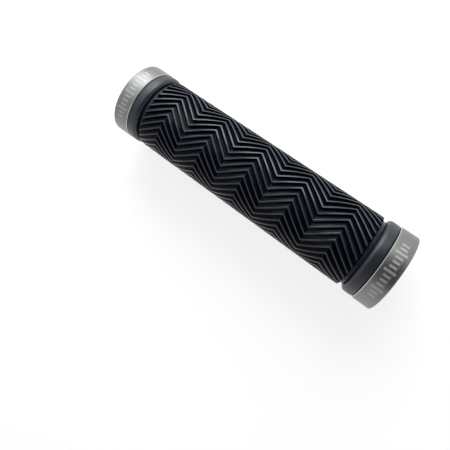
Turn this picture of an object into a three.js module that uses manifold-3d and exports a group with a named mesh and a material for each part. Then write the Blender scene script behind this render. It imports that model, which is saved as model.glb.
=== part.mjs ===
// Lock-on handlebar grip: a rubber sleeve with chevron ribs is moulded over a hard plastic core, whose
// tongues lock into an aluminium clamp ring at each end. A screw across each ring's slit grips the bar.
// Millimetres, +Z up. The grip lies along X with the slits facing down, and z = 0 is the surface under it.
import * as THREE from 'three';
import { mergeVertices } from 'three/addons/utils/BufferGeometryUtils.js';
import Module from 'manifold-3d';

const wasm = await Module();
wasm.setup();

// Whole grip, and the handlebar that it slides onto
const GRIP_LENGTH = 135;
const BAR_DIAMETER = 22.2;

// Clamp rings
const RING_WIDTH = 7.8;
const RING_WALL = 5.85;
const RING_BORE_CLEARANCE = 0.05;
const RING_EDGE_ROUND = 0.5;
const RING_EDGE_CHAMFER = 0.3;
const SLIT_WIDTH = 1.5;
const POCKET_DEPTH = 2.25;
const POCKET_ANGLE = 84;

// Pinch screws, M3 with a socket head
const SCREW_DIAMETER = 3;
const SCREW_LENGTH = 12;
const SCREW_HEAD_DIAMETER = 5.5;
const SCREW_HEAD_HEIGHT = 3;
const SCREW_HEAD_ROUND = 0.3;
const SCREW_TIP_CHAMFER = 0.4;
const SOCKET_WIDTH = 2.5;
const SOCKET_DEPTH = 1.5;
const SEAT_FROM_SLIT = 5.5;
const SCREW_HOLE_CLEARANCE = 0.2;
const SPOT_FACE_CLEARANCE = 0.3;
const SEAT_GAP = 0.2;

// Plastic core
const CORE_BORE_CLEARANCE = 0.15;
const CORE_WALL = 1.75;
const FLANGE_WIDTH = 4.8;
const FLANGE_STEP = 0.15;
const FLANGE_ROUND = 1.6;
const FLANGE_EDGE = 0.3;
const FLANGE_TO_RING = 0.35;
const TONGUE_CLEARANCE = 0.25;
const TONGUE_RECESS = 1.2;
const TONGUE_ROOT = 1;

// Rubber sleeve
const RUBBER_WALL = 3.3;
const BOND_GAP = 0.05;
const SEAM_GAP = 0.15;
const COLLAR_WIDTH = 1.55;
const COLLAR_WALL = 1.95;
const RIB_COUNT = 32;
const RIB_DEPTH = 1.1;
const RIB_CREST = 0.7;
const RIB_STEEP_SIDE = 0.35;
const CHEVRON_LENGTH = 21.3;
const CHEVRON_SLOPE = 37.6;

// How far a cutting tool runs past the surface that it leaves
const CUT_OVERRUN = 1;

// Facets
const TURNED_STEPS = 60;
const SCREW_STEPS = 20;
const ROUND_STEPS = 2;
const STEPS_PER_FLANK = 2;

// Sizes worked out from the ones above
const halfLength = GRIP_LENGTH / 2;
const ringBore = BAR_DIAMETER / 2 + RING_BORE_CLEARANCE;
const ringRadius = ringBore + RING_WALL;
const pocketRadius = ringBore + POCKET_DEPTH;
const ringInnerFace = halfLength - RING_WIDTH;
const screwAxisRadius = ringRadius - SCREW_HEAD_DIAMETER / 2;
const coreBore = BAR_DIAMETER / 2 + CORE_BORE_CLEARANCE;
const coreRadius = coreBore + CORE_WALL;
const flangeRadius = ringRadius - FLANGE_STEP;
const flangeOuterFace = ringInnerFace - FLANGE_TO_RING;
const flangeInnerFace = flangeOuterFace - FLANGE_WIDTH;
const rubberBore = coreRadius + BOND_GAP;
const crestRadius = rubberBore + RUBBER_WALL;
const collarRadius = rubberBore + COLLAR_WALL;
const rubberEnd = flangeInnerFace - SEAM_GAP;
const ribEnd = rubberEnd - COLLAR_WIDTH;

const brushedAluminium = new THREE.MeshStandardMaterial({ color: 0xa9aaa4, roughness: 0.32, metalness: 1 });
const blackSteel = new THREE.MeshStandardMaterial({ color: 0x16171a, roughness: 0.45, metalness: 0.8 });
const greyPlastic = new THREE.MeshStandardMaterial({ color: 0x2b2e33, roughness: 0.5, metalness: 0 });
const blackRubber = new THREE.MeshStandardMaterial({ color: 0x101116, roughness: 0.62, metalness: 0 });

// A closed mesh, as a solid that can be joined and cut
function toSolid(geometry) {
  const plain = geometry.clone();
  plain.deleteAttribute('normal');
  plain.deleteAttribute('uv');
  const merged = mergeVertices(plain, 1e-5);
  return new wasm.Manifold(new wasm.Mesh({
    numProp: 3,
    vertProperties: new Float32Array(merged.attributes.position.array),
    triVerts: new Uint32Array(merged.index.array),
  }));
}

function toGeometry(solid) {
  const mesh = solid.getMesh();
  const geometry = new THREE.BufferGeometry();
  geometry.setAttribute('position', new THREE.BufferAttribute(mesh.vertProperties, 3));
  geometry.setIndex(new THREE.BufferAttribute(mesh.triVerts, 1));
  geometry.computeVertexNormals();
  return geometry;
}

// A body turned about the X axis, from a closed outline drawn as (radius, x)
function turned(outline, steps) {
  return new THREE.LatheGeometry(outline.getPoints(ROUND_STEPS), steps).rotateZ(-Math.PI / 2);
}

// A sector of a ring between two radii, centred on +Y and running along +X
function sector(innerRadius, outerRadius, angleDegrees, length) {
  const half = THREE.MathUtils.degToRad(angleDegrees / 2);
  const shape = new THREE.Shape();
  shape.absarc(0, 0, outerRadius, -half, half, false);
  shape.absarc(0, 0, innerRadius, half, -half, true);
  shape.closePath();
  const curveSegments = Math.round(TURNED_STEPS * angleDegrees / 360);
  const geometry = new THREE.ExtrudeGeometry(shape, { depth: length, bevelEnabled: false, curveSegments });
  return geometry.rotateX(Math.PI / 2).rotateZ(Math.PI / 2);
}

// A straight rod along +Y
function rod(radius, length, steps) {
  return new THREE.CylinderGeometry(radius, radius, length, steps).translate(0, length / 2, 0);
}

// Ring blank from its inner face at x = 0 to its outer face
function ringBlank() {
  const round = RING_EDGE_ROUND;
  const outline = new THREE.Path();
  outline.moveTo(ringBore, RING_WIDTH);
  outline.lineTo(ringBore, 0);
  outline.lineTo(ringRadius - RING_EDGE_CHAMFER, 0);
  outline.lineTo(ringRadius, RING_EDGE_CHAMFER);
  outline.absarc(ringRadius - round, RING_WIDTH - round, round, 0, Math.PI / 2, false);
  outline.lineTo(ringBore, RING_WIDTH);
  return toSolid(turned(outline, TURNED_STEPS));
}

// Ring with its slit, the two tongue pockets, and the screw's hole and spot face beside the slit
function clampRing() {
  const through = RING_WIDTH + 2 * CUT_OVERRUN;
  const pocket = sector(ringBore - CUT_OVERRUN, pocketRadius, POCKET_ANGLE, through)
    .translate(-CUT_OVERRUN, 0, 0);
  const slit = new THREE.BoxGeometry(through, SLIT_WIDTH, RING_WALL + 2 * CUT_OVERRUN)
    .translate(RING_WIDTH / 2, 0, -(ringBore + ringRadius) / 2);
  const hole = rod(SCREW_DIAMETER / 2 + SCREW_HOLE_CLEARANCE, 2 * ringRadius, SCREW_STEPS)
    .translate(RING_WIDTH / 2, -ringRadius, -screwAxisRadius);
  const spotFace = rod(SCREW_HEAD_DIAMETER / 2 + SPOT_FACE_CLEARANCE, ringRadius, SCREW_STEPS)
    .translate(RING_WIDTH / 2, SEAT_FROM_SLIT, -screwAxisRadius);
  return toGeometry(ringBlank()
    .subtract(toSolid(pocket))
    .subtract(toSolid(pocket.rotateX(Math.PI)))
    .subtract(toSolid(slit))
    .subtract(toSolid(hole))
    .subtract(toSolid(spotFace)));
}

// Screw along the Y axis in the ring's own frame, with its head on the +Y side of the slit
function pinchScrew() {
  const headRadius = SCREW_HEAD_DIAMETER / 2;
  const shankRadius = SCREW_DIAMETER / 2;
  const outline = new THREE.Path();
  outline.moveTo(0, -SCREW_LENGTH);
  outline.lineTo(shankRadius - SCREW_TIP_CHAMFER, -SCREW_LENGTH);
  outline.lineTo(shankRadius, SCREW_TIP_CHAMFER - SCREW_LENGTH);
  outline.lineTo(shankRadius, 0);
  outline.lineTo(headRadius, 0);
  outline.absarc(headRadius - SCREW_HEAD_ROUND, SCREW_HEAD_HEIGHT - SCREW_HEAD_ROUND,
    SCREW_HEAD_ROUND, 0, Math.PI / 2, false);
  outline.lineTo(0, SCREW_HEAD_HEIGHT);
  const blank = new THREE.LatheGeometry(outline.getPoints(ROUND_STEPS), SCREW_STEPS);
  const socket = rod(SOCKET_WIDTH / Math.sqrt(3), SOCKET_DEPTH + CUT_OVERRUN, 6)
    .translate(0, SCREW_HEAD_HEIGHT - SOCKET_DEPTH, 0);
  return toGeometry(toSolid(blank).subtract(toSolid(socket)))
    .translate(RING_WIDTH / 2, SEAT_FROM_SLIT + SEAT_GAP, -screwAxisRadius);
}

// Core tube with a smooth flange at each end, rounded towards the rubber
function coreBlank() {
  const outline = new THREE.Path();
  outline.moveTo(coreBore, flangeOuterFace);
  outline.lineTo(coreBore, -flangeOuterFace);
  outline.lineTo(flangeRadius - FLANGE_EDGE, -flangeOuterFace);
  outline.lineTo(flangeRadius, FLANGE_EDGE - flangeOuterFace);
  outline.absarc(flangeRadius - FLANGE_ROUND, -flangeInnerFace - FLANGE_ROUND,
    FLANGE_ROUND, 0, Math.PI / 2, false);
  outline.lineTo(coreRadius, -flangeInnerFace);
  outline.lineTo(coreRadius, flangeInnerFace);
  outline.absarc(flangeRadius - FLANGE_ROUND, flangeInnerFace + FLANGE_ROUND,
    FLANGE_ROUND, -Math.PI / 2, 0, false);
  outline.lineTo(flangeRadius, flangeOuterFace - FLANGE_EDGE);
  outline.lineTo(flangeRadius - FLANGE_EDGE, flangeOuterFace);
  outline.lineTo(coreBore, flangeOuterFace);
  return toSolid(turned(outline, TURNED_STEPS));
}

// Core with two tongues at each end, which fill the ring's pockets but for a clearance
function coreSleeve() {
  const tongueRadius = pocketRadius - TONGUE_CLEARANCE;
  const tongueAngle = POCKET_ANGLE - 2 * THREE.MathUtils.radToDeg(TONGUE_CLEARANCE / coreBore);
  const tongueEnd = halfLength - TONGUE_RECESS;
  const tongueStart = flangeOuterFace - TONGUE_ROOT;
  const tongue = sector(coreBore, tongueRadius, tongueAngle, tongueEnd - tongueStart)
    .translate(tongueStart, 0, 0);
  let core = coreBlank();
  for (const side of [0, Math.PI]) {
    for (const end of [0, Math.PI]) {
      core = core.add(toSolid(tongue.clone().rotateX(side).rotateZ(end)));
    }
  }
  return toGeometry(core);
}

// Turn of the ribs at x, in radians. The first chevron starts at the outboard collar with no turn, and each
// one peaks at its middle and falls back to its end.
function chevronTurn(x) {
  const fromStart = (ribEnd - x) % CHEVRON_LENGTH;
  const fromValley = Math.min(fromStart, CHEVRON_LENGTH - fromStart);
  return fromValley * Math.tan(THREE.MathUtils.degToRad(CHEVRON_SLOPE)) / crestRadius;
}

// One turn of points at x. Each rib has a crest, a gentle side to the groove and a steep side back up.
function ribLoop(x, crest, groove, turn) {
  const pitch = 2 * Math.PI / RIB_COUNT;
  const crestAngle = RIB_CREST / crestRadius;
  const steepAngle = RIB_STEEP_SIDE / crestRadius;
  const loop = [];
  for (let rib = 0; rib < RIB_COUNT; rib += 1) {
    const start = rib * pitch + turn;
    for (const [angle, radius] of [[0, crest], [crestAngle, crest], [pitch - steepAngle, groove]]) {
      loop.push(new THREE.Vector3(x, radius * Math.sin(start + angle), radius * Math.cos(start + angle)));
    }
  }
  return loop;
}

// Places of the rib loops: the inboard end of the ribs, then even steps that meet every chevron corner
function ribStations() {
  const step = CHEVRON_LENGTH / 2 / STEPS_PER_FLANK;
  const stations = [-ribEnd];
  for (let i = Math.ceil(2 * ribEnd / step - 0.1) - 1; i >= 0; i -= 1) {
    stations.push(ribEnd - i * step);
  }
  return stations;
}

// Closed skin through loops of equally many points, the last loop joined to the first
function loft(loops) {
  const count = loops[0].length;
  const index = [];
  loops.forEach((loop, row) => {
    const next = (row + 1) % loops.length;
    for (let i = 0; i < count; i += 1) {
      const j = (i + 1) % count;
      const [a, b] = [row * count + i, row * count + j];
      const [c, d] = [next * count + i, next * count + j];
      index.push(a, c, b, b, c, d);
    }
  });
  const geometry = new THREE.BufferGeometry().setFromPoints(loops.flat());
  geometry.setIndex(index);
  geometry.computeVertexNormals();
  return geometry;
}

// Rubber sleeve: ribs between two plain collars, over a straight bore
function rubberSleeve() {
  const round = (x, radius) => ribLoop(x, radius, radius, 0);
  const loops = [round(-rubberEnd, rubberBore), round(-rubberEnd, collarRadius), round(-ribEnd, collarRadius)];
  for (const x of ribStations()) {
    loops.push(ribLoop(x, crestRadius, crestRadius - RIB_DEPTH, chevronTurn(x)));
  }
  loops.push(round(ribEnd, collarRadius), round(rubberEnd, collarRadius), round(rubberEnd, rubberBore));
  return loft(loops);
}

function named(name, geometry, material) {
  const mesh = new THREE.Mesh(geometry, material);
  mesh.name = name;
  return mesh;
}

// Ring and screw of one end. The inboard pair is the outboard pair turned end for end.
function clampEnd(prefix, ringGeometry, screwGeometry, side) {
  const end = new THREE.Group();
  end.add(named(`${prefix}_clamp_ring`, ringGeometry, brushedAluminium));
  end.add(named(`${prefix}_pinch_screw`, screwGeometry, blackSteel));
  end.position.x = side * ringInnerFace;
  end.rotation.z = side > 0 ? 0 : Math.PI;
  return end;
}

const grip = new THREE.Group();
const ringGeometry = clampRing();
const screwGeometry = pinchScrew();
grip.add(named('core_sleeve', coreSleeve(), greyPlastic));
grip.add(named('rubber_grip', rubberSleeve(), blackRubber));
grip.add(clampEnd('outboard', ringGeometry, screwGeometry, 1));
grip.add(clampEnd('inboard', ringGeometry, screwGeometry, -1));
grip.position.z = ringRadius;

export default grip;
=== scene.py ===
# Lock-on handlebar grip: a ribbed rubber sleeve moulded over a stiff core, with a clamp ring at each end.
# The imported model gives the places, and each piece gets its finished form and surface here. Metres, +Z up.
import math

import bmesh
import bpy
from mathutils import Matrix, Vector


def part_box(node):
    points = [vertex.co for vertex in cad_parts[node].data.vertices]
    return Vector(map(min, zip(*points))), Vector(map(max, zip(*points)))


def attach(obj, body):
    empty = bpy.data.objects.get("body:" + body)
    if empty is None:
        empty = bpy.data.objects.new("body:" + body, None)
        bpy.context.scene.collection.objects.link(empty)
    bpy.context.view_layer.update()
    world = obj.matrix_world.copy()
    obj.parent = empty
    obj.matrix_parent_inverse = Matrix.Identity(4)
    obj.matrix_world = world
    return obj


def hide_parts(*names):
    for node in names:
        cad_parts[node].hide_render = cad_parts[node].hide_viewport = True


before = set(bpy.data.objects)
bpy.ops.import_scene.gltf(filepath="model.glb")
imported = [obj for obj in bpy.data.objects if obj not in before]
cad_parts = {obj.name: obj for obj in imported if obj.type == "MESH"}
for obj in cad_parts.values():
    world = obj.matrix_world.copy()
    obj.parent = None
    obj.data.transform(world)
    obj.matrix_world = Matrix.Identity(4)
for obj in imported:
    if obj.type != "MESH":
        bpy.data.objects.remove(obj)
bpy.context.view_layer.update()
MM = 0.001


# Camera: it looks down on the lying grip from just above its outboard end, so that the near clamp ring
# comes out larger than the far one. The shift sets the grip in the upper part of the picture.
CAMERA_EYE = Vector((37.82, 12.67, 198.40)) * MM
CAMERA_DIRECTION = Vector((-0.2654, -0.1193, -0.9567))
CAMERA_UP = Vector((-0.5595, 0.8272, 0.0521))
CAMERA_LENS = 34.05
CAMERA_SHIFT = (0.0128, -0.0991)

camera = bpy.data.objects.new("camera", bpy.data.cameras.new("camera"))
camera.data.lens = CAMERA_LENS
camera.data.sensor_width = 36
camera.data.clip_start = 0.005
camera.data.shift_x, camera.data.shift_y = CAMERA_SHIFT
back = -CAMERA_DIRECTION.normalized()
right = CAMERA_UP.cross(back).normalized()
up = back.cross(right)
camera.matrix_world = Matrix.Translation(CAMERA_EYE) @ Matrix((right, up, back)).transposed().to_4x4()
bpy.context.scene.collection.objects.link(camera)
bpy.context.scene.camera = camera


# Core moulding: the stiff tube that the rubber is moulded on, injection moulded in black glass-filled nylon.
# A smooth flange at each end stops the rubber, and two tongues beyond each flange lock into the clamp ring.
BAR_DIAMETER = 22.2 * MM
CORE_CLEARANCE = 0.15 * MM
CORE_WALL = 1.75 * MM
FLANGE_WIDTH = 4.8 * MM
FLANGE_STEP = 0.15 * MM
FLANGE_ROUND = 1.6 * MM
FLANGE_CROWN = 0.12 * MM
FLANGE_CROWN_PLACE = 0.4
FLANGE_EDGE = 0.3 * MM
FLANGE_TO_RING = 0.35 * MM
POCKET_DEPTH = 2.25 * MM
POCKET_ANGLE = math.radians(84)
TONGUE_CLEARANCE = 0.25 * MM
TONGUE_ROOT = 1.0 * MM
TONGUE_EDGE = 0.3 * MM
TONGUE_CORNER = 0.4 * MM
TONGUE_LIFT = 0.02 * MM
TONGUE_STEPS = 24
RING_BORE_CLEARANCE = 0.05 * MM
TURNED_STEPS = 240
FLANGE_STEPS = 8
ARC_STEPS = 5
CORNER_STEPS = 4
WELD = 0.001 * MM

ring_low, ring_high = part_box("outboard_clamp_ring")
ring_radius = (ring_high.y - ring_low.y) / 2
ring_bore = BAR_DIAMETER / 2 + RING_BORE_CLEARANCE
axis_point = Vector((0, 0, ring_high.z - ring_radius))
core_bore = BAR_DIAMETER / 2 + CORE_CLEARANCE
core_radius = core_bore + CORE_WALL
flange_radius = ring_radius - FLANGE_STEP
flange_outer_face = ring_low.x - FLANGE_TO_RING
flange_inner_face = flange_outer_face - FLANGE_WIDTH
pocket_radius = ring_bore + POCKET_DEPTH
tongue_radius = pocket_radius - TONGUE_CLEARANCE
tongue_angle = POCKET_ANGLE - 2 * TONGUE_CLEARANCE / core_bore
tongue_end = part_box("core_sleeve")[1].x


def rounded(corners, steps=ARC_STEPS, closed=True):
    """Points of an outline of (u, v, radius) corners, with an arc at each corner that has a radius."""
    points = []
    last = len(corners) - 1
    for i, (u, v, radius) in enumerate(corners):
        corner = Vector((u, v))
        if radius == 0 or (not closed and i in (0, last)):
            points.append(corner)
            continue
        before = (Vector(corners[i - 1][:2]) - corner).normalized()
        after = (Vector(corners[0 if i == last else i + 1][:2]) - corner).normalized()
        half = before.angle(after) / 2
        centre = corner + (before + after).normalized() * radius / math.sin(half)
        start = corner + before * radius / math.tan(half) - centre
        end = corner + after * radius / math.tan(half) - centre
        turn = math.atan2(start.x * end.y - start.y * end.x, start.dot(end))
        for step in range(steps + 1):
            points.append(centre + Matrix.Rotation(turn * step / steps, 2) @ start)
    return points


def round_axis(x, radius, angle):
    """The point at x, that far from the grip's axis, at an angle from the top towards +Y."""
    return Vector((x, radius * math.sin(angle), radius * math.cos(angle)))


def skin(name, loops, joined=True):
    """Closed mesh through loops of equally many points: the last loop joins the first, or both are capped."""
    count = len(loops[0])
    faces = []
    for row in range(len(loops) if joined else len(loops) - 1):
        here = row * count
        there = (row + 1) % len(loops) * count
        for i in range(count):
            j = (i + 1) % count
            faces.append((here + i, here + j, there + j, there + i))
    if not joined:
        faces.append(tuple(range(count)))
        faces.append(tuple(range(len(loops) * count - count, len(loops) * count)))
    mesh = bpy.data.meshes.new(name)
    mesh.from_pydata([point for loop in loops for point in loop], [], faces)
    piece = bpy.data.objects.new(name, mesh)
    bpy.context.scene.collection.objects.link(piece)
    tidy_mesh(piece)
    return piece


def tidy_mesh(piece):
    """Welds doubled points, clears slivers and turns all faces outwards."""
    work = bmesh.new()
    work.from_mesh(piece.data)
    bmesh.ops.remove_doubles(work, verts=work.verts, dist=WELD)
    bmesh.ops.dissolve_degenerate(work, dist=WELD, edges=work.edges)
    bmesh.ops.recalc_face_normals(work, faces=work.faces)
    work.to_mesh(piece.data)
    work.free()


def combine(piece, others, operation):
    """Joins the other solids to the piece, or cuts them out of it."""
    for other in others:
        step = piece.modifiers.new(other.name, "BOOLEAN")
        step.operation = operation
        step.solver = "EXACT"
        step.object = other
    bpy.context.view_layer.update()
    evaluated = piece.evaluated_get(bpy.context.evaluated_depsgraph_get())
    result = bpy.data.meshes.new_from_object(evaluated)
    piece.modifiers.clear()
    piece.data = result
    for other in others:
        bpy.data.objects.remove(other)


def turned(name, outline):
    """A body turned about the grip's axis, from a closed outline of (x, radius) points."""
    turns = [math.tau * step / TURNED_STEPS for step in range(TURNED_STEPS)]
    return skin(name, [[round_axis(x, radius, angle) for x, radius in outline] for angle in turns])


def tongue(side, end):
    """A tongue with softened edges, which starts inside the flange."""
    lower = core_bore + TONGUE_LIFT
    half = tongue_angle / 2
    inset_angle = TONGUE_CORNER * 1.5 / core_bore
    step_angle = (tongue_angle - 2 * inset_angle) / TONGUE_STEPS
    arc = [half - inset_angle - step_angle * i for i in range(TONGUE_STEPS + 1)]
    corners = [(lower * math.sin(half), lower * math.cos(half), TONGUE_CORNER / 2)]
    corners += [(lower * math.sin(a), lower * math.cos(a), 0) for a in arc]
    corners += [(-lower * math.sin(half), lower * math.cos(half), TONGUE_CORNER / 2)]
    corners += [(-tongue_radius * math.sin(half), tongue_radius * math.cos(half), TONGUE_CORNER)]
    corners += [(tongue_radius * math.sin(a), tongue_radius * math.cos(a), 0) for a in reversed(arc)]
    corners += [(tongue_radius * math.sin(half), tongue_radius * math.cos(half), TONGUE_CORNER)]
    outline = rounded(corners, CORNER_STEPS)
    middle = (lower + tongue_radius) / 2
    loops = [[Vector((flange_outer_face - TONGUE_ROOT, point.x, point.y)) for point in outline]]
    for step in range(ARC_STEPS + 1):
        lean = math.pi / 2 * step / ARC_STEPS
        inset = TONGUE_EDGE * (1 - math.cos(lean))
        x = tongue_end - TONGUE_EDGE * (1 - math.sin(lean))
        loop = []
        for point in outline:
            radius = point.length
            angle = math.atan2(point.x, point.y)
            angle *= 1 - inset / (half * middle)
            radius += (middle - radius) * inset * 2 / (tongue_radius - lower)
            loop.append(Vector((x, radius * math.sin(angle), radius * math.cos(angle))))
        loops.append(loop)
    piece = skin("tongue", loops, joined=False)
    piece.data.transform(Matrix.Rotation(end, 4, "Z") @ Matrix.Rotation(math.pi / 2 + side, 4, "X"))
    return piece


def crowned(outline):
    """The outline with its flanges drawn in slightly towards both their ends."""
    middle = flange_outer_face - FLANGE_WIDTH * FLANGE_CROWN_PLACE
    points = []
    for x, radius in outline:
        away = (abs(x) - middle) / (FLANGE_WIDTH * (1 - FLANGE_CROWN_PLACE))
        points.append((x, radius - FLANGE_CROWN * away ** 2 if radius > core_radius else radius))
    return points


# The flat of a flange between its rounded edges, in steps that take the crown
flange_flat = FLANGE_WIDTH - FLANGE_ROUND * 1.5
flat_start = flange_outer_face - FLANGE_EDGE * 2
flange_top = [flat_start - flange_flat * step / FLANGE_STEPS for step in range(FLANGE_STEPS + 1)]
core_outline = crowned(rounded([
    (-flange_outer_face, core_bore, FLANGE_EDGE),
    (flange_outer_face, core_bore, FLANGE_EDGE),
    (flange_outer_face, flange_radius, FLANGE_EDGE),
    *[(x, flange_radius, 0) for x in flange_top],
    (flange_inner_face, flange_radius, FLANGE_ROUND),
    (flange_inner_face, core_radius, 0),
    (-flange_inner_face, core_radius, 0),
    (-flange_inner_face, flange_radius, FLANGE_ROUND),
    *[(-x, flange_radius, 0) for x in reversed(flange_top)],
    (-flange_outer_face, flange_radius, FLANGE_EDGE),
]))
core_moulding = turned("core_moulding", core_outline)
combine(core_moulding, [tongue(side, end) for side in (0, math.pi) for end in (0, math.pi)], "UNION")
tidy_mesh(core_moulding)


def add(tree, kind, inputs=None, **settings):
    """A shader node with its settings, and with its inputs set to a value or linked to another's output."""
    node = tree.nodes.new("ShaderNode" + kind)
    for setting, value in settings.items():
        setattr(node, setting, value)
    for socket, value in (inputs or {}).items():
        if isinstance(value, bpy.types.NodeSocket):
            tree.links.new(value, node.inputs[socket])
        else:
            node.inputs[socket].default_value = value
    return node


def sums(tree, operation, *values):
    """The output of one Math node."""
    return add(tree, "Math", dict(enumerate(values)), operation=operation).outputs[0]


def ramp(tree, value, low, high, at_low=0.0, at_high=1.0):
    """The value taken smoothly from one range to another."""
    inputs = {0: value, 1: low, 2: high, 3: at_low, 4: at_high}
    return add(tree, "MapRange", inputs, interpolation_type="SMOOTHSTEP").outputs[0]


def mix(tree, share, first, second):
    """A colour between two others."""
    return add(tree, "Mix", {0: share, 6: first, 7: second}, data_type="RGBA").outputs[2]


def effect(name, inputs, outputs):
    """A node group with number and vector inputs and number outputs, with its input and output nodes."""
    group = bpy.data.node_groups.new(name, "ShaderNodeTree")
    for socket, value in inputs.items():
        kind = "NodeSocketVector" if value is None else "NodeSocketFloat"
        made = group.interface.new_socket(socket, in_out="INPUT", socket_type=kind)
        if value is not None:
            made.default_value = value
    for socket in outputs:
        group.interface.new_socket(socket, in_out="OUTPUT", socket_type="NodeSocketFloat")
    return group, group.nodes.new("NodeGroupInput"), group.nodes.new("NodeGroupOutput")


def use(tree, group, **inputs):
    """Places an effect in a material, with its own values."""
    node = tree.nodes.new("ShaderNodeGroup")
    node.node_tree = group
    for socket, value in inputs.items():
        socket = socket.replace("_", " ").title()
        if isinstance(value, bpy.types.NodeSocket):
            tree.links.new(value, node.inputs[socket])
        else:
            node.inputs[socket].default_value = value
    return node


def finish_of(name, constants):
    """A material with constant values on its shader: its tree, the shader and the place on the piece."""
    material = bpy.data.materials.new(name)
    material.use_nodes = True
    tree = material.node_tree
    shader = tree.nodes["Principled BSDF"]
    for socket, value in constants.items():
        shader.inputs[socket].default_value = value
    place = add(tree, "TexCoord").outputs["Object"]
    return material, tree, shader, place


# Fine pits of a moulded skin, and slow cloudy change across it
CLOUD_SIZE = 6.25 * MM
CLOUD_RANGE = (0.3, 0.7)

moulded_grain, given, made = effect(
    "moulded_grain", {"Place": None, "Grain Size": 0.2 * MM}, ["Height", "Cloud"])
scale = sums(moulded_grain, "DIVIDE", 1.0, given.outputs["Grain Size"])
at_place = {"Vector": given.outputs["Place"]}
pits = add(moulded_grain, "TexNoise", {**at_place, "Scale": scale, "Detail": 3.0})
cloud = add(moulded_grain, "TexNoise", {**at_place, "Scale": 1 / CLOUD_SIZE, "Detail": 4.0})
moulded_grain.links.new(pits.outputs[0], made.inputs["Height"])
moulded_grain.links.new(cloud.outputs[0], made.inputs["Cloud"])

# How far from the grip's axis, how far along it, and the arc round it from the top
grip_place, given, made = effect("grip_place", {"Place": None}, ["Radius", "Along", "Angle"])
axes = add(grip_place, "SeparateXYZ", {0: given.outputs["Place"]})
square = sums(grip_place, "ADD", sums(grip_place, "POWER", axes.outputs[1], 2.0),
              sums(grip_place, "POWER", axes.outputs[2], 2.0))
grip_place.links.new(sums(grip_place, "SQRT", square), made.inputs["Radius"])
grip_place.links.new(axes.outputs[0], made.inputs["Along"])
grip_place.links.new(sums(grip_place, "ARCTAN2", axes.outputs[1], axes.outputs[2]), made.inputs["Angle"])

NYLON_DARK = (0.010, 0.012, 0.020, 1)
NYLON_LIGHT = (0.015, 0.018, 0.027, 1)
NYLON_SHEEN = (0.88, 0.94, 1.0, 1)
NYLON_ROUGHNESS = (0.36, 0.44)
NYLON_GRAIN = 0.22 * MM
NYLON_GRAIN_DEPTH = 0.03 * MM

core_nylon, tree, shader, place = finish_of("core_nylon", {"IOR": 1.6, "Specular Tint": NYLON_SHEEN})
grain = use(tree, moulded_grain, place=place, grain_size=NYLON_GRAIN)
shade = mix(tree, grain.outputs["Cloud"], NYLON_DARK, NYLON_LIGHT)
tree.links.new(shade, shader.inputs["Base Color"])
rough = ramp(tree, grain.outputs["Cloud"], *CLOUD_RANGE, *NYLON_ROUGHNESS)
tree.links.new(rough, shader.inputs["Roughness"])
height = grain.outputs["Height"]
bump = add(tree, "Bump", {"Strength": 0.35, "Distance": NYLON_GRAIN_DEPTH, "Height": height})
tree.links.new(bump.outputs[0], shader.inputs["Normal"])


def fit(piece, material, node, sharp_angle=35):
    """Gives a finished piece its material and shading, and seats it on the axis in its node's place."""
    piece.data.materials.clear()
    piece.data.materials.append(material)
    piece.data.shade_smooth()
    piece.data.set_sharp_from_angle(angle=math.radians(sharp_angle))
    piece.location = axis_point
    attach(piece, "root")
    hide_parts(node)


fit(core_moulding, core_nylon, "core_sleeve")


# Rubber sleeve: soft black thermoplastic rubber, moulded over the core in one shot between its flanges.
# Its 32 ribs are saw teeth that zigzag along the grip, and a plain low collar closes them at each end.
RUBBER_WALL = 3.3 * MM
BOND_GAP = 0.05 * MM
COLLAR_WIDTH = 1.55 * MM
COLLAR_WALL = 1.95 * MM
COLLAR_ROUND = 0.15 * MM
RIB_COUNT = 32
RIB_DEPTH = 1.1 * MM
RIB_CREST = 0.7 * MM
RIB_STEEP_SIDE = 0.35 * MM
RIB_CREST_ROUND = 0.15 * MM
RIB_ROOT_ROUND = 0.12 * MM
RIB_END_ROUND = 0.7 * MM
CHEVRON_LENGTH = 21.3 * MM
CHEVRON_SLOPE = math.radians(37.6)
CHEVRON_CRISPNESS = 0.9996
CORNER_STATIONS = (0, 0.12 * MM, 0.28 * MM, 0.5 * MM)
FLANK_STATIONS = 7
RIB_ROUND_STEPS = 3

rubber_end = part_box("rubber_grip")[1].x
rubber_bore = core_radius + BOND_GAP
crest_radius = rubber_bore + RUBBER_WALL
collar_radius = rubber_bore + COLLAR_WALL
rib_end = rubber_end - COLLAR_WIDTH
flank_length = CHEVRON_LENGTH / 2
rib_pitch = math.tau * crest_radius / RIB_COUNT


def rib_section():
    """One rib and groove as (arc length, height) points, from the start of a crest to the next one."""
    return rounded([
        (-RIB_STEEP_SIDE / 2, -RIB_DEPTH / 2, 0),
        (0, 0, RIB_CREST_ROUND),
        (RIB_CREST, 0, RIB_CREST_ROUND),
        (rib_pitch - RIB_STEEP_SIDE, -RIB_DEPTH, RIB_ROOT_ROUND),
        (rib_pitch - RIB_STEEP_SIDE / 2, -RIB_DEPTH / 2, 0),
    ], RIB_ROUND_STEPS, closed=False)


def chevron_turn(x):
    """Angle of the ribs at x: they climb and fall in straight flanks, with tightly rounded corners."""
    wave = -math.cos(math.pi * (rib_end - x) / flank_length)
    along = flank_length * (0.5 + math.asin(CHEVRON_CRISPNESS * wave) / math.pi)
    return along * math.tan(CHEVRON_SLOPE) / crest_radius


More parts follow.
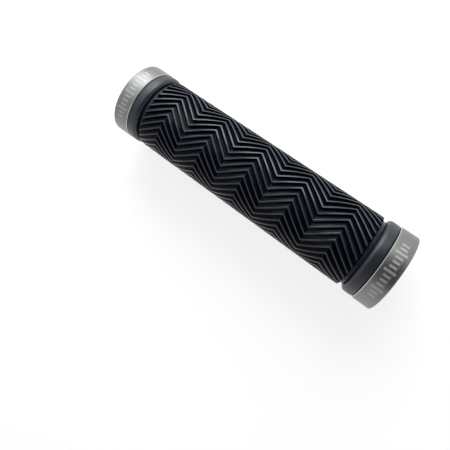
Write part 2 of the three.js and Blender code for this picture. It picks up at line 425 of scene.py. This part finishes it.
def rib_stations():
    """Places along the grip, close together where the chevrons turn and wider along their straight flanks."""
    corner = CORNER_STATIONS[-1]
    straight = (flank_length - 2 * corner) / FLANK_STATIONS
    stations = []
    for flank in range(math.ceil(2 * rib_end / flank_length)):
        start = rib_end - flank * flank_length
        stations += [start - near for near in CORNER_STATIONS]
        stations += [start - corner - straight * i for i in range(1, FLANK_STATIONS)]
        stations += [start - flank_length + near for near in reversed(CORNER_STATIONS[1:])]
    return [x for x in reversed(stations) if abs(x) < rib_end - RIB_END_ROUND - corner / 2]


def rib_loop(x, sink=0.0, flat=None):
    """The sleeve's outside at x: ribs sunk by that much, or a plain round of the given radius."""
    loop = []
    turn = chevron_turn(max(-rib_end, min(rib_end, x)))
    for rib in range(RIB_COUNT):
        for arc, height in rib_profile[:-1]:
            angle = math.tau * rib / RIB_COUNT + arc / crest_radius + turn
            radius = flat or max(crest_radius + height - sink, collar_radius)
            loop.append(round_axis(x, radius, angle))
    return loop


def sleeve_end(side):
    """The loops of one end, from the bore round the collar to where the ribs have their full height."""
    loops = [
        rib_loop(side * rubber_end, flat=rubber_bore),
        rib_loop(side * rubber_end, flat=collar_radius - COLLAR_ROUND),
        rib_loop(side * (rubber_end - COLLAR_ROUND / 3), flat=collar_radius - COLLAR_ROUND / 3),
        rib_loop(side * (rubber_end - COLLAR_ROUND), flat=collar_radius),
        rib_loop(side * rib_end, flat=collar_radius),
    ]
    for step in range(ARC_STEPS + 1):
        lean = math.pi / 2 * step / ARC_STEPS
        x = rib_end - RIB_END_ROUND * (1 - math.cos(lean))
        loops.append(rib_loop(side * x, sink=RIB_END_ROUND * (1 - math.sin(lean))))
    return loops


rib_profile = rib_section()
sleeve_loops = sleeve_end(-1) + [rib_loop(x) for x in rib_stations()] + sleeve_end(1)[::-1]
rubber_sleeve = skin("rubber_sleeve", sleeve_loops)

# Painted light: the rubber's colour is painted lighter on the crests as a painted highlight, and near black
# down in the grooves as painted shade
RUBBER_GROOVE_PAINTED_SHADE = (0.0008, 0.0024, 0.0085, 1)
RUBBER_CREST_PAINTED_LIGHT = (0.042, 0.055, 0.078, 1)
RUBBER_SHEEN = {"IOR": 1.5, "Specular IOR Level": 0.05, "Coat IOR": 1.5, "Coat Roughness": 0.16}
RUBBER_ROUGHNESS = (0.30, 0.36)
RUBBER_UNEVENNESS = (-0.03, 0.05)
RUBBER_GRAIN = 0.16 * MM
RUBBER_GRAIN_DEPTH = 0.04 * MM
MOULD_TOOL_STEP = 0.09 * MM
MOULD_TOOL_SHARE = 2.0
PAINTED_LIGHT_BELOW_CREST = (0.07 * MM, 0.01 * MM)
GLOSS_BELOW_CREST = (0.25 * MM, 0.02 * MM)
ROUGH_BELOW_CREST = 0.5 * MM
GROOVE_TO_CREST_GLOSS = (0.05, 0.8)
# The plain collars are painted lighter too, a painted highlight
COLLAR_PAINTED_LIGHT = 0.6
COLLAR_GLOSS = 0.3
COLLAR_BLEND = 0.1 * MM

ribbed_rubber, tree, shader, place = finish_of("ribbed_rubber", RUBBER_SHEEN)
where = use(tree, grip_place, place=place)
grain = use(tree, moulded_grain, place=place, grain_size=RUBBER_GRAIN)
radius = where.outputs["Radius"]
from_middle = sums(tree, "ABSOLUTE", where.outputs["Along"])
plain_collar = ramp(tree, from_middle, rib_end, rib_end + COLLAR_BLEND)
# Painted highlight on the crests and painted shade in the grooves, set by the distance from the axis
painted_light = ramp(tree, radius, *[crest_radius - below for below in PAINTED_LIGHT_BELOW_CREST])
# The collars get the same painted highlight
painted_light = sums(tree, "MAXIMUM", painted_light, sums(tree, "MULTIPLY", plain_collar, COLLAR_PAINTED_LIGHT))
tree.links.new(mix(tree, painted_light, RUBBER_GROOVE_PAINTED_SHADE, RUBBER_CREST_PAINTED_LIGHT), shader.inputs["Base Color"])
gloss_heights = [crest_radius - below for below in GLOSS_BELOW_CREST]
gloss = ramp(tree, radius, *gloss_heights, *GROOVE_TO_CREST_GLOSS)
gloss = sums(tree, "MAXIMUM", gloss, sums(tree, "MULTIPLY", plain_collar, COLLAR_GLOSS))
tree.links.new(gloss, shader.inputs["Coat Weight"])
rough = ramp(tree, radius, crest_radius - ROUGH_BELOW_CREST, crest_radius, *RUBBER_ROUGHNESS)
rough = sums(tree, "ADD", rough, ramp(tree, grain.outputs["Cloud"], *CLOUD_RANGE, *RUBBER_UNEVENNESS))
tree.links.new(rough, shader.inputs["Roughness"])
tool_path = sums(tree, "DIVIDE", radius, MOULD_TOOL_STEP)
tool_marks = add(tree, "TexNoise", {"W": tool_path, "Scale": 1.0, "Detail": 1.0}, noise_dimensions="1D")
tool_marks = sums(tree, "MULTIPLY", tool_marks.outputs[0], MOULD_TOOL_SHARE)
height = sums(tree, "ADD", grain.outputs["Height"], tool_marks)
bump = add(tree, "Bump", {"Strength": 0.5, "Distance": RUBBER_GRAIN_DEPTH, "Height": height})
tree.links.new(bump.outputs[0], shader.inputs["Normal"])

fit(rubber_sleeve, ribbed_rubber, "rubber_grip", sharp_angle=50)


# Clamp rings: turned from aluminium bar, bored for the handlebar, slit along the underside and milled with
# two pockets for the core's tongues. They are anodised grey, and a plain scale is laser marked on top.
RING_FACE_ROUND = 0.5 * MM
RING_FACE_CHAMFER = 0.3 * MM
RING_BORE_EDGE = 0.22 * MM
SLIT_WIDTH = 1.5 * MM
SLIT_EDGE = 0.15 * MM
POCKET_CORNER = 0.8 * MM
POCKET_CORNER_ANGLE = math.radians(5)
LAND_CORNER = 0.25 * MM
BORE_STEP_ANGLE = math.radians(1.5)
SCREW_DIAMETER = 3.0 * MM
SCREW_HEAD_DIAMETER = 5.5 * MM
SCREW_HOLE_CLEARANCE = 0.2 * MM
SPOT_FACE_CLEARANCE = 0.3 * MM
SEAT_FROM_SLIT = 5.5 * MM
HOLE_STEPS = 64
HOLE_EDGE = 0.12 * MM
HOLE_EDGE_ANGLE = math.radians(30)
HOLE_TOLERANCE = 0.01 * MM

ring_width = ring_high.x - ring_low.x
screw_axis_radius = ring_radius - SCREW_HEAD_DIAMETER / 2
screw_x = (ring_low.x + ring_high.x) / 2


def bore_outline():
    """The ring's inside from slit to slit, seen from its end: three lands with the two pockets between."""
    corners = []
    slit_angle = math.asin(SLIT_WIDTH / 2 / ring_bore) + SLIT_EDGE / ring_bore
    walls = [math.pi / 2 - POCKET_ANGLE / 2, math.pi / 2 + POCKET_ANGLE / 2]
    stops = [-math.pi + slit_angle, -walls[1], -walls[0], walls[0], walls[1], math.pi - slit_angle]
    radii = [ring_bore, pocket_radius, ring_bore, pocket_radius, ring_bore]
    for start, end, radius in zip(stops, stops[1:], radii):
        corner = POCKET_CORNER if radius == pocket_radius else LAND_CORNER
        first = start if start == stops[0] else start + POCKET_CORNER_ANGLE
        last = end if end == stops[-1] else end - POCKET_CORNER_ANGLE
        steps = round((last - first) / BORE_STEP_ANGLE)
        if first != start:
            corners.append((radius * math.sin(start), radius * math.cos(start), corner))
        for step in range(steps + 1):
            angle = first + (last - first) * step / steps
            corners.append((radius * math.sin(angle), radius * math.cos(angle), 0))
        if last != end:
            corners.append((radius * math.sin(end), radius * math.cos(end), corner))
    return rounded(corners, CORNER_STEPS, closed=False)


def normals_of(outline):
    """Unit directions square to an open outline, away from the grip's axis on its round stretches."""
    directions = []
    for i in range(len(outline)):
        along = outline[min(i + 1, len(outline) - 1)] - outline[max(i - 1, 0)]
        directions.append(Vector((-along.y, along.x)).normalized())
    return directions


def ring_edges():
    """The ring's section as (side, x, inset) points: bore, outboard face, outside, inboard face."""
    section = []
    for step in range(ARC_STEPS + 1):
        lean = math.pi / 2 * (1 - step / ARC_STEPS)
        section.append(("bore", RING_BORE_EDGE * (1 - math.sin(lean)), RING_BORE_EDGE * (1 - math.cos(lean))))
    section += [("bore", ring_width - x, inset) for _, x, inset in reversed(section)]
    for step in range(ARC_STEPS + 1):
        lean = math.pi / 2 * (1 - step / ARC_STEPS)
        x = ring_width - RING_FACE_ROUND * (1 - math.sin(lean))
        section.append(("outside", x, RING_FACE_ROUND * (1 - math.cos(lean))))
    section.append(("outside", RING_FACE_CHAMFER, 0))
    section.append(("outside", 0, RING_FACE_CHAMFER))
    return section


def slit_loop(section, hand, y, inset):
    """The ring's section in the plane y, drawn in by an inset all round."""
    loop = []
    for side, x, edge in section:
        radius = ring_bore + edge + inset if side == "bore" else ring_radius - edge - inset
        x = min(max(x, inset), ring_width - inset)
        loop.append(Vector((ring_low.x + x, hand * y, -math.sqrt(radius ** 2 - y ** 2))))
    return loop


def ring_body(name):
    """The ring as one swept section from one face of the slit round to the other."""
    section = ring_edges()
    bore = bore_outline()
    normals = normals_of(bore)
    slit_angle = math.asin(SLIT_WIDTH / 2 / ring_radius) + SLIT_EDGE / ring_radius
    loops = []
    for i, (point, normal) in enumerate(zip(bore, normals)):
        angle = (math.pi - slit_angle) * (2 * i / (len(bore) - 1) - 1)
        loop = []
        for side, x, inset in section:
            if side == "bore":
                edge = point + normal * inset
                loop.append(Vector((ring_low.x + x, edge.x, edge.y)))
            else:
                loop.append(round_axis(ring_low.x + x, ring_radius - inset, angle))
        loops.append(loop)
    loops.insert(0, slit_loop(section, -1, SLIT_WIDTH / 2, SLIT_EDGE))
    loops.append(slit_loop(section, 1, SLIT_WIDTH / 2, SLIT_EDGE))
    return skin(name, loops, joined=False)


def rod(name, radius, start, end):
    """A rod along Y on the pinch screw's axis."""
    turns = [math.tau * step / HOLE_STEPS for step in range(HOLE_STEPS)]
    loops = [[Vector((screw_x + radius * math.cos(a), y, radius * math.sin(a) - screw_axis_radius))
              for a in turns] for y in (start, end)]
    return skin(name, loops, joined=False)


def soften_cut(piece, radius):
    """Breaks the sharp edges that a rod of that radius has left on the screw's axis."""
    work = bmesh.new()
    work.from_mesh(piece.data)
    edges = []
    for edge in work.edges:
        reach = [math.hypot(v.co.x - screw_x, v.co.z + screw_axis_radius) for v in edge.verts]
        on_rod = all(abs(distance - radius) < HOLE_TOLERANCE for distance in reach)
        if on_rod and len(edge.link_faces) == 2 and edge.calc_face_angle() > HOLE_EDGE_ANGLE:
            edges.append(edge)
    bmesh.ops.bevel(work, geom=edges, offset=HOLE_EDGE, segments=2, affect="EDGES", clamp_overlap=True)
    work.to_mesh(piece.data)
    work.free()


def clamp_ring(name, end):
    """The finished ring, turned end for end for the inboard side."""
    ring = ring_body(name)
    hole_radius = SCREW_DIAMETER / 2 + SCREW_HOLE_CLEARANCE
    seat_radius = SCREW_HEAD_DIAMETER / 2 + SPOT_FACE_CLEARANCE
    hole = rod("hole", hole_radius, -ring_radius, ring_radius)
    seat = rod("seat", seat_radius, SEAT_FROM_SLIT, ring_radius)
    combine(ring, [hole, seat], "DIFFERENCE")
    tidy_mesh(ring)
    soften_cut(ring, seat_radius)
    ring.data.transform(Matrix.Rotation(end, 4, "Z"))
    return ring


# Fine lines left by the tool, round the ring on its outside and in circles on its faces
STREAK_TO_LINE = 0.12

turned_lines, given, made = effect(
    "turned_lines", {"Place": None, "Line Pitch": 0.12 * MM}, ["Height", "Streak"])
spot = use(turned_lines, grip_place, place=given.outputs["Place"])
across = sums(turned_lines, "ADD", spot.outputs["Radius"], spot.outputs["Along"])
across = sums(turned_lines, "DIVIDE", across, given.outputs["Line Pitch"])
line = add(turned_lines, "TexNoise", {"W": across, "Scale": 1.0, "Detail": 2.0}, noise_dimensions="1D")
streak = {"W": across, "Scale": STREAK_TO_LINE, "Detail": 2.0}
wide = add(turned_lines, "TexNoise", streak, noise_dimensions="1D")
turned_lines.links.new(line.outputs[0], made.inputs["Height"])
turned_lines.links.new(wide.outputs[0], made.inputs["Streak"])

TICK_PITCH = 2.0 * MM
TICK_WIDTH = 0.9 * MM
TICK_LONG = 4.8 * MM
TICK_SHORT = 2.8 * MM
TICK_EVERY = 4
TICK_CHANGE = (0.98 * MM, 1.02 * MM)
SCALE_ARC = 24.8 * MM
SCALE_MIDDLE = 1.0 * MM
TICK_BLUR = 0.06 * MM
ALUMINIUM_DARK = (0.213, 0.221, 0.213, 1)
ALUMINIUM_LIGHT = (0.263, 0.272, 0.262, 1)
ALUMINIUM_ROUGHNESS = (0.36, 0.43)
TURNED_PITCH = 0.11 * MM
TURNED_DEPTH = 0.02 * MM
LASER_MARK = (0.42, 0.425, 0.42, 1)
MARK_ROUGHNESS = 0.2
MARK_GRAIN = 0.09 * MM
MARK_BELOW_OUTSIDE = (0.2 * MM, 0.1 * MM)
BARE_EDGE = (0.46, 0.467, 0.455, 1)
BARE_EDGE_SMOOTHNESS = 0.6
BARE_BELOW_OUTSIDE = (0.5 * MM, 0.4 * MM)

ring_aluminium, tree, shader, place = finish_of("ring_aluminium", {"Metallic": 1.0})
where = use(tree, grip_place, place=place)
lines = use(tree, turned_lines, place=place, line_pitch=TURNED_PITCH)
grain = use(tree, moulded_grain, place=place, grain_size=MARK_GRAIN)
along = sums(tree, "ABSOLUTE", where.outputs["Along"])

# The scale: ticks round the middle of the ring's outside, of which every fourth is long
arc = sums(tree, "SUBTRACT", sums(tree, "MULTIPLY", where.outputs["Angle"], ring_radius), SCALE_MIDDLE)
to_tick = sums(tree, "PINGPONG", arc, TICK_PITCH / 2)
to_long = sums(tree, "PINGPONG", arc, TICK_PITCH * TICK_EVERY / 2)
stroke = ramp(tree, to_tick, TICK_WIDTH / 2 - TICK_BLUR, TICK_WIDTH / 2 + TICK_BLUR, 1.0, 0.0)
reach = ramp(tree, to_long, *TICK_CHANGE, TICK_LONG / 2, TICK_SHORT / 2)
from_middle = sums(tree, "ABSOLUTE", sums(tree, "SUBTRACT", along, screw_x))
inside = ramp(tree, sums(tree, "SUBTRACT", from_middle, reach), -TICK_BLUR, TICK_BLUR, 1.0, 0.0)
scale_end = ramp(tree, sums(tree, "ABSOLUTE", arc), SCALE_ARC / 2, SCALE_ARC / 2 + TICK_BLUR, 1.0, 0.0)
outside = ramp(tree, where.outputs["Radius"], *[ring_radius - below for below in MARK_BELOW_OUTSIDE])
marked = sums(tree, "MULTIPLY", stroke, inside)
marked = sums(tree, "MULTIPLY", marked, sums(tree, "MULTIPLY", scale_end, outside))

# The bright line where the chamfer next to the core's flange is cut through the anodising
chamfer_end = ring_low.x + RING_FACE_CHAMFER
bare = ramp(tree, along, chamfer_end - RING_FACE_CHAMFER / 10, chamfer_end + RING_FACE_CHAMFER / 10, 1.0, 0.0)
rim = ramp(tree, where.outputs["Radius"], *[ring_radius - below for below in BARE_BELOW_OUTSIDE])
bare = sums(tree, "MULTIPLY", bare, rim)

metal = mix(tree, lines.outputs["Streak"], ALUMINIUM_DARK, ALUMINIUM_LIGHT)
metal = mix(tree, marked, metal, LASER_MARK)
tree.links.new(mix(tree, bare, metal, BARE_EDGE), shader.inputs["Base Color"])
rough = ramp(tree, lines.outputs["Streak"], *CLOUD_RANGE, *ALUMINIUM_ROUGHNESS)
rough = sums(tree, "ADD", rough, sums(tree, "MULTIPLY", marked, MARK_ROUGHNESS))
smoother = sums(tree, "SUBTRACT", 1.0, sums(tree, "MULTIPLY", bare, BARE_EDGE_SMOOTHNESS))
tree.links.new(sums(tree, "MULTIPLY", rough, smoother), shader.inputs["Roughness"])
height = sums(tree, "ADD", lines.outputs["Height"], sums(tree, "MULTIPLY", grain.outputs["Height"], marked))
bump = add(tree, "Bump", {"Strength": 0.25, "Distance": TURNED_DEPTH, "Height": height})
tree.links.new(bump.outputs[0], shader.inputs["Normal"])

for label, end in (("outboard", 0), ("inboard", math.pi)):
    ring = clamp_ring(f"{label}_ring", end)
    fit(ring, ring_aluminium, f"{label}_clamp_ring", sharp_angle=30)


# Pinch screws: M3 cap screws of alloy steel, cold headed, knurled, thread rolled and blackened in an oxide
# bath. Each one crosses its ring's slit with a hexagon socket in the head, and pulls the slit shut.
SCREW_LENGTH = 12.0 * MM
SCREW_HEAD_HEIGHT = 3.0 * MM
SCREW_HEAD_ROUND = 0.3 * MM
SCREW_HEAD_FOOT = 0.12 * MM
SCREW_HEAD_RELIEF = 0.15 * MM
SCREW_TIP_CHAMFER = 0.4 * MM
SCREW_TIP_RADIUS = 0.6 * MM
SOCKET_WIDTH = 2.5 * MM
SOCKET_DEPTH = 1.5 * MM
SOCKET_CONE = 0.35 * MM
SOCKET_CHAMFER = 0.12 * MM
SOCKET_POINT = 0.05 * MM
SEAT_GAP = 0.2 * MM
THREAD_PITCH = 0.5 * MM
THREAD_DEPTH = 0.27 * MM
THREAD_CREST = 0.375
THREAD_ROOT = 0.125
THREAD_RUN_OUT = 0.6 * MM
KNURL_START = 0.3 * MM
KNURL_END = 2.52 * MM
KNURL_DEPTH = 0.07 * MM
SCREW_STEPS = 72
ROWS_PER_PITCH = 6


def screw_loop(height, radius_at):
    """One turn round the screw's own axis, with its radius from a function of the angle."""
    turns = [math.tau * step / SCREW_STEPS for step in range(SCREW_STEPS)]
    return [Vector((radius_at(a) * math.cos(a), radius_at(a) * math.sin(a), height)) for a in turns]


def hexagon(across_flats):
    """Radius of a hexagon by angle, with corners at whole sixths of a turn."""
    return lambda a: across_flats / 2 / math.cos(math.remainder(a - math.pi / 6, math.pi / 3))


def threaded(height):
    """Radius of the thread by angle at a height below the head, faded out at the tip and at the head."""
    half_groove = (1 - THREAD_CREST) / 2
    half_root = THREAD_ROOT / 2
    crest = SCREW_DIAMETER / 2 - max(0.0, SCREW_TIP_CHAMFER - SCREW_LENGTH - height)
    fade = min(1.0, max(0.0, (-height - THREAD_RUN_OUT) / THREAD_PITCH))

    def radius_at(a):
        phase = (height / THREAD_PITCH + a / math.tau) % 1
        cut = (half_groove - abs(phase - 0.5)) / (half_groove - half_root)
        cut = max(0.0, min(1.0, cut))
        return min(crest, SCREW_DIAMETER / 2 - THREAD_DEPTH * cut * fade)
    return radius_at


def knurled(radius):
    """Radius of a straight knurl by angle, one ridge to two steps."""
    return lambda a: radius - KNURL_DEPTH * (round(a / math.tau * SCREW_STEPS) % 2)


def pinch_screw(name, end):
    """The screw with its seat at height zero on its own axis, then laid across the ring's slit."""
    head_radius = SCREW_HEAD_DIAMETER / 2
    rows = round(SCREW_LENGTH / THREAD_PITCH * ROWS_PER_PITCH)
    loops = [screw_loop(-SCREW_LENGTH, lambda a: SCREW_TIP_RADIUS)]
    for row in range(rows + 1):
        height = -SCREW_LENGTH * (1 - row / rows)
        loops.append(screw_loop(height, threaded(height)))
    loops.append(screw_loop(0, lambda a: head_radius - SCREW_HEAD_RELIEF))
    loops.append(screw_loop(SCREW_HEAD_FOOT, lambda a: head_radius))
    loops.append(screw_loop(KNURL_START, knurled(head_radius)))
    loops.append(screw_loop(KNURL_END, knurled(head_radius)))
    for step in range(ARC_STEPS + 1):
        lean = math.pi / 2 * step / ARC_STEPS
        radius = head_radius - SCREW_HEAD_ROUND * (1 - math.cos(lean))
        height = SCREW_HEAD_HEIGHT - SCREW_HEAD_ROUND * (1 - math.sin(lean))
        loops.append(screw_loop(height, lambda a, radius=radius: radius))
    loops.append(screw_loop(SCREW_HEAD_HEIGHT, hexagon(SOCKET_WIDTH + 2 * SOCKET_CHAMFER)))
    loops.append(screw_loop(SCREW_HEAD_HEIGHT - SOCKET_CHAMFER, hexagon(SOCKET_WIDTH)))
    loops.append(screw_loop(SCREW_HEAD_HEIGHT - SOCKET_DEPTH, hexagon(SOCKET_WIDTH)))
    loops.append(screw_loop(SCREW_HEAD_HEIGHT - SOCKET_DEPTH - SOCKET_CONE, lambda a: SOCKET_POINT))
    screw = skin(name, loops, joined=False)
    lay = Matrix.Translation((screw_x, SEAT_FROM_SLIT + SEAT_GAP, -screw_axis_radius))
    screw.data.transform(Matrix.Rotation(end, 4, "Z") @ lay @ Matrix.Rotation(-math.pi / 2, 4, "X"))
    return screw


OXIDE_BLACK = (0.012, 0.012, 0.014, 1)
OXIDE_WORN = (0.10, 0.10, 0.105, 1)
OXIDE_ROUGHNESS = (0.36, 0.5)
OXIDE_GRAIN = 0.12 * MM
OXIDE_GRAIN_DEPTH = 0.02 * MM
WORN_POINTINESS = (0.52, 0.62)
WORN_CLOUDS = (0.35, 0.65)

black_oxide, tree, shader, place = finish_of("black_oxide", {"Metallic": 0.85})
grain = use(tree, moulded_grain, place=place, grain_size=OXIDE_GRAIN)
worn = ramp(tree, add(tree, "NewGeometry").outputs["Pointiness"], *WORN_POINTINESS)
worn = sums(tree, "MULTIPLY", worn, ramp(tree, grain.outputs["Cloud"], *WORN_CLOUDS))
tree.links.new(mix(tree, worn, OXIDE_BLACK, OXIDE_WORN), shader.inputs["Base Color"])
rough = ramp(tree, grain.outputs["Cloud"], *CLOUD_RANGE, *OXIDE_ROUGHNESS)
tree.links.new(rough, shader.inputs["Roughness"])
height = grain.outputs["Height"]
bump = add(tree, "Bump", {"Strength": 0.3, "Distance": OXIDE_GRAIN_DEPTH, "Height": height})
tree.links.new(bump.outputs[0], shader.inputs["Normal"])

for label, end in (("outboard", 0), ("inboard", math.pi)):
    screw = pinch_screw(f"{label}_screw", end)
    fit(screw, black_oxide, f"{label}_pinch_screw", sharp_angle=30)


# Studio: a white table that shows as plain white but for the grip's own shadow. A wide low window with a
# brighter patch of sky in it lights the grip from its far side, and a lamp from above, in a room that is
# pale all round and dark overhead.
FLOOR_SIZE = 6.0
FLOOR_LIFT = 0.82
FLOOR_COLOUR = (0.5, 0.5, 0.5, 1)
WHITE = (1, 1, 1, 1)
LIGHT_DISTANCE = 0.6
ROOM_LIGHT = 0.06
ROOM_SEEN = 0.8
SHADE_SEEN = 0.13
SHADE_CENTRE = (0.3, 0.0, 0.954)
SHADE_EDGE = math.cos(math.radians(50))
SHADE_FULL = math.cos(math.radians(32))

bpy.ops.mesh.primitive_plane_add(size=FLOOR_SIZE)
floor = bpy.context.object
floor.name = "floor"
floor_white, tree, shader, _ = finish_of("floor_white", {"Base Color": FLOOR_COLOUR, "Roughness": 0.9})
rays = add(tree, "LightPath")
seen = sums(tree, "MAXIMUM", rays.outputs["Is Camera Ray"], rays.outputs["Is Glossy Ray"])
shader.inputs["Emission Color"].default_value = WHITE
tree.links.new(sums(tree, "MULTIPLY", seen, FLOOR_LIFT), shader.inputs["Emission Strength"])
floor.data.materials.append(floor_white)

world = bpy.data.worlds.new("room")
bpy.context.scene.world = world
world.use_nodes = True
tree = world.node_tree
rays = add(tree, "LightPath")
towards = add(tree, "TexCoord").outputs["Generated"]
overhead = add(tree, "VectorMath", {0: towards, 1: SHADE_CENTRE}, operation="DOT_PRODUCT").outputs["Value"]
seen = ramp(tree, overhead, SHADE_EDGE, SHADE_FULL, ROOM_SEEN, SHADE_SEEN)
plain = sums(tree, "MAXIMUM", rays.outputs["Is Camera Ray"], rays.outputs["Is Transmission Ray"])
room = add(tree, "Mix", {0: rays.outputs["Is Glossy Ray"], 2: ROOM_LIGHT, 3: seen}).outputs[0]
room = add(tree, "Mix", {0: plain, 2: room, 3: 1.0}).outputs[0]
tree.links.new(room, tree.nodes["Background"].inputs["Strength"])
tree.nodes["Background"].inputs["Color"].default_value = WHITE


def soft_light(name, azimuth, elevation, width, height, brightness):
    """A soft light facing the grip, by its direction in degrees, azimuth from +Y towards +X, and its size."""
    around = math.radians(azimuth)
    above = math.radians(elevation)
    level = math.cos(above)
    towards = Vector((math.sin(around) * level, math.cos(around) * level, math.sin(above)))
    light = bpy.data.objects.new(name, bpy.data.lights.new(name, "AREA"))
    light.data.shape = "RECTANGLE"
    light.data.size = width
    light.data.size_y = height
    light.data.energy = brightness * math.pi * width * height
    light.location = axis_point + towards * LIGHT_DISTANCE
    light.rotation_euler = (-towards).to_track_quat("-Z", "Y").to_euler()
    bpy.context.scene.collection.objects.link(light)


soft_light("window", -28, 26, 0.70, 0.50, 2.3)
soft_light("sky", -21, 31, 0.36, 0.34, 2.9)
soft_light("lamp", -75, 57, 0.28, 0.28, 1.2)
bpy.context.scene.view_settings.view_transform = "Standard"
